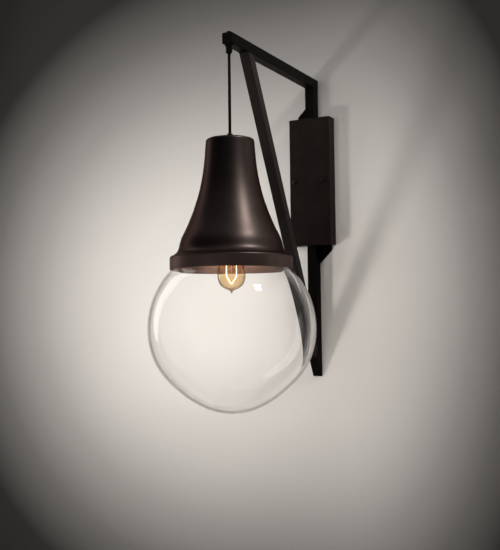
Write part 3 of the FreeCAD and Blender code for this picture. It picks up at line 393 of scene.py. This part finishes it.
def tool_marks_group():
    """Fine marks of turning or drawing along one axis, and the tone and sheen that go with them."""
    group, given, made = effect_group(
        "tool_marks",
        [("Base", "Color", (0.5, 0.5, 0.5, 1)), ("Roughness", "Float", 0.3), ("Grain", "Float", 260),
         ("Stretch", "Vector", (1, 1, 1))],
        [("Color", "Color"), ("Roughness", "Float"), ("Height", "Float")])
    marks = noise(group, object_place(group, given["Stretch"]), given["Grain"], detail=4, roughness=0.6)
    tone = ramp(group, marks, (0.3, 0.78), (0.7, 1))
    group.links.new(mixed(group, 1, given["Base"], tone, "MULTIPLY"), made["Color"])
    group.links.new(math_node(group, "ADD", given["Roughness"], spread(group, marks, -0.07, 0.1)),
                    made["Roughness"])
    group.links.new(marks, made["Height"])
    return group


tool_marks = tool_marks_group()


def metal(name, base, roughness, stretch=(1, 1, 1), grain=260):
    """Bare metal with faint tool marks."""
    return grouped(name, tool_marks, relief=0.15, depth=0.00006, shader_values={"Metallic": 1},
                   Base=base, Roughness=roughness, Grain=grain, Stretch=stretch)


lead_insulation = moulded("lead_insulation", base=(0.03, 0.03, 0.032), roughness=0.34, grain=700, relief=0.15)
connector_plastic = moulded("connector_plastic", base=(0.55, 0.14, 0.03), roughness=0.42)
ground_green = coated("ground_green", base=(0.04, 0.22, 0.08), roughness=0.3, mottle=0.3, dust=0)
bushing_rubber = moulded("bushing_rubber", base=(0.02, 0.02, 0.02), roughness=0.62, grain=420)
bright_steel = metal("bright_steel", base=(0.56, 0.55, 0.53), roughness=0.32)
finish_with(lead_insulation, "supply_leads", "fixture_leads")
finish_with(connector_plastic, "wire_connectors")
finish_with(ground_green, "ground_screw")
finish_with(bushing_rubber, "plate_bushing", "post_grommet")
finish_with(bright_steel, "cover_studs")
smooth("supply_leads", "fixture_leads", "wire_connectors", "ground_screw", "plate_bushing",
       "post_grommet", "cover_studs")

# Hanging point
# A turned gland screwed up against the arm's underside, and a domed plug in the hole above it. A
# steel nipple and locknut hold the gland, and a rubber seal inside it grips the cord.
gland_paint = coated("gland_paint", base=(0.0035, 0.0029, 0.0027), roughness=0.3, mottle=0.3, dust=0.1,
                     peel=0.15)
finish_with(gland_paint, "gland_flange", "gland_body", "access_plug")
finish_with(bright_steel, "gland_nipple", "gland_locknut")
finish_with(bushing_rubber, "gland_seal")
smooth("gland_flange", "gland_body", "access_plug", "gland_nipple", "gland_locknut", "gland_seal")

# Bell and rim band
# The bell is spun from 1.2 mm steel over a form and finished in satin dark bronze, under which the
# fine rings of the spinning show. The band below it is rolled, soldered on and finished with it.


def spun_rings_group():
    """The fine rings of spinning or rolling under a bronze finish, and slow patches of its tone."""
    group, given, made = effect_group(
        "spun_rings",
        [("Dark", "Color", (0.05, 0.04, 0.04, 1)), ("Light", "Color", (0.07, 0.05, 0.05, 1)),
         ("Stretch", "Vector", (1, 1, 1))],
        [("Color", "Color"), ("Roughness", "Float"), ("Height", "Float")])
    rings = noise(group, object_place(group, given["Stretch"]), scale=9, detail=4, roughness=0.7)
    patches = noise(group, object_place(group), scale=16, detail=3, roughness=0.55)
    coat = mixed(group, spread(group, patches, 0, 1, 0.3, 0.72), given["Dark"], given["Light"])
    tone = ramp(group, rings, (0.3, 0.84), (0.7, 1.0))
    group.links.new(mixed(group, 1, coat, tone, "MULTIPLY"), made["Color"])
    group.links.new(spread(group, rings, 0.36, 0.43), made["Roughness"])
    group.links.new(rings, made["Height"])
    return group


spun_rings = spun_rings_group()


def satin_bronze(name, dark, light, stretch, metallic):
    """Satin dark bronze over metal, whose edges stay as dark as its face."""
    return grouped(name, spun_rings, relief=0.22, depth=0.00005,
                   shader_values={"Metallic": metallic, "Specular_Tint": (0.36, 0.33, 0.33, 1)},
                   Dark=dark, Light=light, Stretch=stretch)


bell_finish = satin_bronze("bell_finish", dark=(0.050, 0.0395, 0.0375), light=(0.064, 0.0510, 0.0485),
                           stretch=(0.6, 0.6, 90), metallic=1)
# Painted light: the band's bronze is a lighter copy of the bell's, with some diffuse colour, for the band's
# brighter face and broad highlight.
band_finish_painted_light = satin_bronze("band_finish_painted_light", dark=(0.088, 0.062, 0.057), light=(0.108, 0.077, 0.071),
                           stretch=(0.5, 0.5, 30), metallic=0.85)
finish_with(bell_finish, "bell_shell", "bell_cap_nut")
finish_with(bright_steel, "bell_locknut")
finish_with(band_finish_painted_light, "rim_band", "set_screws")
finish_with(moulded("gasket_rubber", base=(0.03, 0.03, 0.03), roughness=0.6), "globe_gasket")
smooth("bell_shell", "bell_cap_nut", "rim_band", "set_screws", angle=30)
smooth("bell_locknut", "globe_gasket")

# Lampholder
# A moulded body on a brass cap, with the brass screw shell and the contact tab inside. It hangs from
# the bell's top on a threaded steel stem.
holder_brass = metal("holder_brass", base=(0.62, 0.44, 0.19), roughness=0.3, stretch=(1, 1, 6))
finish_with(bright_steel, "holder_stem")
finish_with(holder_brass, "lampholder_cap", "lampholder_shell", "lampholder_contact")
finish_with(moulded("holder_plastic", base=(0.02, 0.018, 0.016), roughness=0.36), "lampholder_body")
smooth("holder_stem", "lampholder_cap", "lampholder_shell", "lampholder_contact", "lampholder_body")

# Glass globe
# Mouth-blown clear glass, 4 mm thick, with a rolled lip at the top of its short neck. The set screws
# hold it by that lip. It is turned here with finer steps than the solid, so that it refracts cleanly.
globe_radius = 0.1905
globe_middle = -0.3928
globe_wall = 0.004
neck_radius = 0.1335
neck_top = -0.2404
lip_radius = 0.1364
lip_top = -0.2364
mouth_radius = 0.1295
hanging_y = next(joint["pos_m"][1] for joint in frame["joints"] if joint["name"] == "pendant_tilt")
# Degrees below the globe's level middle, and how much of a sphere's radius the blown form has there.
outline_shares = ((-43.5, 1), (-39, 1), (-33, 1), (-22, 1), (-11, 1), (0, 1), (12, 1), (24, 0.997),
                  (35, 0.984), (46, 0.973), (57, 0.976), (68, 0.989), (79, 1.003), (90, 1.008))
globe_line = [(neck_radius, neck_top - drop) for drop in (0, 0.005, 0.010)]
for degrees, share in outline_shares:
    turn = math.radians(degrees)
    reach = globe_radius * share
    globe_line.append((reach * math.cos(turn), globe_middle - reach * math.sin(turn)))
globe_line[-1] = (0.0, globe_line[-1][1])


def line_through(points, steps):
    """Steps along the smooth line through points that meets the axis square at its last point."""
    knots = np.array(points + [(-radius, height) for radius, height in points[-2:-5:-1]])
    gaps = np.linalg.norm(np.diff(knots, axis=0), axis=1)
    slopes = np.diff(knots, axis=0) / gaps[:, None]
    system = np.eye(len(knots))
    wanted = np.zeros((len(knots), 2))
    for knot in range(1, len(knots) - 1):
        before, after = gaps[knot - 1], gaps[knot]
        system[knot, knot - 1:knot + 2] = before, 2 * (before + after), after
        wanted[knot] = 6 * (slopes[knot] - slopes[knot - 1])
    bends = np.linalg.solve(system, wanted)
    line = []
    for knot in range(len(points) - 1):
        gap, bend, next_bend = gaps[knot], bends[knot], bends[knot + 1]
        for step in range(steps):
            along = step / steps * gap
            line.append(knots[knot] + along * (slopes[knot] - gap * (2 * bend + next_bend) / 6)
                        + along ** 2 * bend / 2 + along ** 3 * (next_bend - bend) / (6 * gap))
    return np.array(line + [knots[len(points) - 1]])


def inside_of(line, wall):
    """The same line, a wall's thickness further in."""
    run = np.gradient(line, axis=0)
    run /= np.linalg.norm(run, axis=1)[:, None]
    inner = line + wall * np.stack([run[:, 1], -run[:, 0]], axis=1)
    inner[-1] = (0, line[-1][1] + wall)
    return inner


def turned_glass(name, outer, brim, inner, sides):
    """A hollow body turned round the hanging axis from its outside line, brim and inside line, each a
    list of (radius, height)."""
    profile = [tuple(point) for point in outer[::-1]] + brim + [tuple(point) for point in inner]
    rings = profile[1:-1]
    points = [(0, hanging_y, profile[0][1])]
    for radius, height in rings:
        for number in range(sides):
            turn = 2 * math.pi * number / sides
            points.append((radius * math.cos(turn), hanging_y + radius * math.sin(turn), height))
    points.append((0, hanging_y, profile[-1][1]))
    last = len(points) - 1
    faces = []
    for here in range(sides):
        there = (here + 1) % sides
        faces.append((0, 1 + there, 1 + here))
        for ring in range(len(rings) - 1):
            low = 1 + ring * sides
            high = low + sides
            faces.append((low + here, low + there, high + there, high + here))
        faces.append((last - sides + here, last - sides + there, last))
    mesh = bpy.data.meshes.new(name)
    mesh.from_pydata(points, [], faces)
    mesh.shade_smooth()
    mesh.set_sharp_from_angle(angle=math.radians(50))
    piece = bpy.data.objects.new(name, mesh)
    scene.collection.objects.link(piece)
    return piece


def blown_waves_group():
    """The slow waves of blown glass, as a height."""
    group, given, made = effect_group("blown_waves", [("Scale", "Float", 6)], [("Height", "Float")])
    waves = noise(group, object_place(group), given["Scale"], detail=2, roughness=0.4)
    group.links.new(waves, made["Height"])
    return group


blown_waves = blown_waves_group()


def clear_glass(name, tint, painted_edge_shade, edge_from, edge_to, wave, relief, density, absorption, index=1.46):
    """Clear glass with a painted shade that deepens its colour where it is seen edge on, for the dark room
    bent in at its rim, and with the slow waves of blown glass.
    """
    material, tree, output = new_material(name)
    shader = principled(tree, output, Roughness=0, IOR=index, Transmission_Weight=1)
    # Painted shade: the colour turns towards the edge shade where the glass is seen edge on.
    facing = tree.nodes.new("ShaderNodeLayerWeight")
    facing.inputs["Blend"].default_value = 0.5
    tree.links.new(ramp(tree, facing.outputs["Facing"], (edge_from, tint), (edge_to, painted_edge_shade)),
                   shader.inputs["Base Color"])
    bump(tree, shader, placed(tree, blown_waves, Scale=wave)["Height"], relief, distance=0.002)
    volume = tree.nodes.new("ShaderNodeVolumeAbsorption")
    volume.inputs["Color"].default_value = (*absorption, 1)
    volume.inputs["Density"].default_value = density
    tree.links.new(volume.outputs[0], output.inputs["Volume"])
    return material


# The low index keeps the background as little bent as it is by the real globe.
globe_glass = clear_glass("globe_glass", tint=(1, 1, 1), painted_edge_shade=(0.03, 0.02, 0.01), edge_from=0.80,
                          edge_to=0.86, wave=6, relief=0.012, density=6, absorption=(0.90, 0.84, 0.74),
                          index=1.2)
globe_outer = line_through(globe_line, steps=8)
globe_brim = [(lip_radius, neck_top), (lip_radius, lip_top), (mouth_radius, lip_top)]
globe = turned_glass("globe", globe_outer, globe_brim, inside_of(globe_outer, globe_wall), sides=288)
globe.data.materials.append(globe_glass)
globe.visible_shadow = False
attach(globe, "pendant")
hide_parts("glass_globe")

# Bulb
# A filament bulb of amber glass with a drawn-off tip, a brass cap, a glass stem with its support
# wires, and a lit hairpin filament.
amber_glass = clear_glass("amber_glass", tint=(0.94, 0.80, 0.60), painted_edge_shade=(0.10, 0.04, 0.015),
                          edge_from=0.42, edge_to=0.86, wave=14, relief=0.03, density=6,
                          absorption=(0.9, 0.75, 0.5))
stem_glass = clear_glass("stem_glass", tint=(0.97, 0.92, 0.84), painted_edge_shade=(0.8, 0.6, 0.4), edge_from=0.6,
                         edge_to=0.95, wave=40, relief=0.1, density=2, absorption=(0.9, 0.8, 0.6))
bulb_brass = metal("bulb_brass", base=(0.70, 0.52, 0.24), roughness=0.22, stretch=(1, 1, 20), grain=300)
support_wire = metal("support_wire", base=(0.45, 0.42, 0.40), roughness=0.35)
finish_with(amber_glass, "bulb_envelope")
finish_with(stem_glass, "bulb_stem")
finish_with(bulb_brass, "bulb_cap", "bulb_contact")
finish_with(support_wire, "bulb_supports")
smooth("bulb_envelope", "bulb_stem", angle=50)
smooth("bulb_cap", "bulb_contact", "bulb_supports")
for name in ("bulb_envelope", "bulb_stem"):
    nodes[name].visible_shadow = False

filament_glow, glow_tree, glow_output = new_material("filament_glow")
glow = principled(glow_tree, glow_output, Base_Color=(0.9, 0.6, 0.3, 1), Roughness=0.6, Emission_Strength=5)
heat = noise(glow_tree, object_place(glow_tree), scale=300, detail=1)
glow_tree.links.new(ramp(glow_tree, heat, (0.3, (1.0, 0.78, 0.50)), (0.7, (1.0, 0.88, 0.66))),
                    glow.inputs["Emission Color"])
finish_with(filament_glow, "bulb_filament")
smooth("bulb_filament")

# The light that the filament throws on the inside of the bell and band, from just below its bend.
filament_lamp_height = -0.295
filament_light = bpy.data.lights.new("filament_light", "SPOT")
filament_light.energy = 4
filament_light.color = (1.0, 0.74, 0.54)
filament_light.shadow_soft_size = 0.012
filament_light.spot_size, filament_light.spot_blend = math.radians(150), 0.1
filament_lamp = bpy.data.objects.new("filament_lamp", filament_light)
filament_lamp.location = (0, hanging_y, filament_lamp_height)
filament_lamp.rotation_euler = (math.pi, 0, 0)
filament_lamp.visible_camera = filament_lamp.visible_transmission = False
scene.collection.objects.link(filament_lamp)
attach(filament_lamp, "bulb")

# Floor
# A plain matt sheet, pale and a little warm, well below the lamp. It isn't part of the lamp, and stands
# for the room's floor in the views from the side and from behind.


def warm_grey(tone):
    """A grey with the faint warmth of the wall and floor."""
    return tuple(tone * part for part in (1, 0.965, 0.93))


def stage_sheet(name, corners):
    """A matt sheet that isn't part of the lamp. Gives its node tree, output and paint."""
    mesh = bpy.data.meshes.new(name)
    mesh.from_pydata(corners, [], [tuple(range(len(corners)))])
    piece = bpy.data.objects.new(name, mesh)
    scene.collection.objects.link(piece)
    material, tree, output = new_material(name)
    mesh.materials.append(material)
    return tree, output, principled(tree, output, Roughness=0.9, Specular_IOR_Level=0.1)


floor_height = -1.5
floor_reach = 6
tree, output, paint = stage_sheet("floor", [
    (-floor_reach, -floor_reach, floor_height), (floor_reach, -floor_reach, floor_height),
    (floor_reach, floor_reach, floor_height), (-floor_reach, floor_reach, floor_height)])
clouds = noise(tree, object_place(tree), scale=3, detail=2)
tree.links.new(ramp(tree, clouds, (0.3, warm_grey(0.43)), (0.7, warm_grey(0.45))), paint.inputs["Base Color"])

# Wall
# The pale wall that the lamp stands on, with a painted pool of light that is palest behind the globe and
# painted shade darkening round it, slower on the left. It is seen only from the front and casts no shadow, so
# that light reaches the lamp's back.
wall_gap = 0.0005
wall_reach = 4
wall_top = 3
tree, output, paint = stage_sheet("wall", [
    (-wall_reach, wall_gap, floor_height), (wall_reach, wall_gap, floor_height),
    (wall_reach, wall_gap, wall_top), (-wall_reach, wall_gap, wall_top)])
light_pool_height = -0.30
light_pool_left, light_pool_right = -0.24, 0.06
left_rate, right_rate = 0.875, 1.8
split = tree.nodes.new("ShaderNodeSeparateXYZ")
tree.links.new(object_place(tree, (1, 0, 1), (0, 0, -light_pool_height)), split.inputs[0])
leftward = spread(tree, split.outputs["X"], 0, left_rate * wall_reach, light_pool_left, light_pool_left - wall_reach)
rightward = spread(tree, split.outputs["X"], 0, right_rate * wall_reach, light_pool_right, light_pool_right + wall_reach)
joined = tree.nodes.new("ShaderNodeCombineXYZ")
tree.links.new(math_node(tree, "ADD", leftward, rightward), joined.inputs["X"])
tree.links.new(split.outputs["Z"], joined.inputs["Z"])
distance = tree.nodes.new("ShaderNodeVectorMath")
distance.operation = "LENGTH"
tree.links.new(joined.outputs[0], distance.inputs[0])

# The camera sees the painted pool of light and its painted shade, past the lamp and through its glass.
# Mirrored and bounced light meets one plain tone of the same ramp.
plain_share = 0.22
path = tree.nodes.new("ShaderNodeLightPath")
seen = math_node(tree, "MAXIMUM", path.outputs["Is Camera Ray"], path.outputs["Is Transmission Ray"])
plain = math_node(tree, "MULTIPLY", math_node(tree, "SUBTRACT", 1, seen), plain_share)
faded = math_node(tree, "ADD", math_node(tree, "MULTIPLY", distance.outputs["Value"], seen), plain)
# Painted light: the tones from the middle of the pool of light out to the painted shade round it.
painted_light_tones = ((0.0, 0.62), (0.18, 0.58), (0.34, 0.48), (0.50, 0.355), (0.66, 0.21), (0.82, 0.10),
              (1.0, 0.020))
tree.links.new(ramp(tree, faded, *[(at, warm_grey(tone)) for at, tone in painted_light_tones]),
               paint.inputs["Base Color"])
geometry = tree.nodes.new("ShaderNodeNewGeometry")
clear = tree.nodes.new("ShaderNodeBsdfTransparent")
one_sided = tree.nodes.new("ShaderNodeMixShader")
tree.links.new(math_node(tree, "MAXIMUM", geometry.outputs["Backfacing"], path.outputs["Is Shadow Ray"]),
               one_sided.inputs[0])
tree.links.new(paint.outputs[0], one_sided.inputs[1])
tree.links.new(clear.outputs[0], one_sided.inputs[2])
tree.links.new(one_sided.outputs[0], output.inputs["Surface"])

# Lamps
# A warm softbox high on the right gives the bell its broad highlight, and a tall strip along the wall
# on the left its rim light. A small low one on the left throws the bracket's shadows up the wall. A
# broad one fills in from the front, and another lights the lamp's back.
lamp_target = (0, -0.45, -0.2)


def lamp(name, place, size, power, colour=(1, 1, 1), shape="RECTANGLE", mirrored=True):
    """An area light of a width and height, turned towards the sconce."""
    data = bpy.data.lights.new(name, "AREA")
    data.shape = shape
    data.size, data.size_y = size
    data.energy = power
    data.color = colour
    piece = bpy.data.objects.new(name, data)
    piece.location = place
    piece.rotation_mode = "QUATERNION"
    piece.rotation_quaternion = (Vector(lamp_target) - Vector(place)).to_track_quat("-Z", "Y")
    piece.visible_glossy = mirrored
    piece.visible_transmission = mirrored
    scene.collection.objects.link(piece)


lamp("right_softbox", place=(2.0, -0.864, 2.068), size=(0.52, 0.52), power=56, colour=(1, 0.95, 0.89),
     shape="DISK")
lamp("left_strip", place=(-1.25, -0.50, 0.25), size=(0.5, 1.9), power=5.2, colour=(1, 0.97, 0.93),
     shape="ELLIPSE")
lamp("left_low", place=(-1.1, -1.05, -0.75), size=(0.25, 0.25), power=13.5, colour=(1, 0.97, 0.93),
     shape="DISK", mirrored=False)
lamp("front_fill", place=(-0.4, -3.2, 0.4), size=(1.8, 1.8), power=68, colour=(1, 0.98, 0.96),
     mirrored=False)
lamp("behind", place=(0.6, 2.6, 0.8), size=(2.0, 2.0), power=40, mirrored=False)

# Room
# The room glows softly overhead, which the bell's flare and band reflect. Seen past the wall's edge
# or through glass it is plain and pale.
seen_strength = 0.85
world = bpy.data.worlds.new("room")
scene.world = world
world.use_nodes = True
room = world.node_tree
background = room.nodes["Background"]
background.inputs["Color"].default_value = (0.95, 0.94, 0.92, 1)
room_path = room.nodes.new("ShaderNodeLightPath")
looked_at = math_node(room, "MAXIMUM", room_path.outputs["Is Camera Ray"],
                      room_path.outputs["Is Transmission Ray"])
room_place = room.nodes.new("ShaderNodeTexCoord")
room_height = room.nodes.new("ShaderNodeSeparateXYZ")
room.links.new(room_place.outputs["Generated"], room_height.inputs[0])
glow_above = spread(room, room_height.outputs["Z"], 0.02, 0.40, from_low=0.5, from_high=1)
room.links.new(math_node(room, "MAXIMUM", glow_above, math_node(room, "MULTIPLY", looked_at, seen_strength)),
               background.inputs["Strength"])
scene.view_settings.view_transform = "Standard"
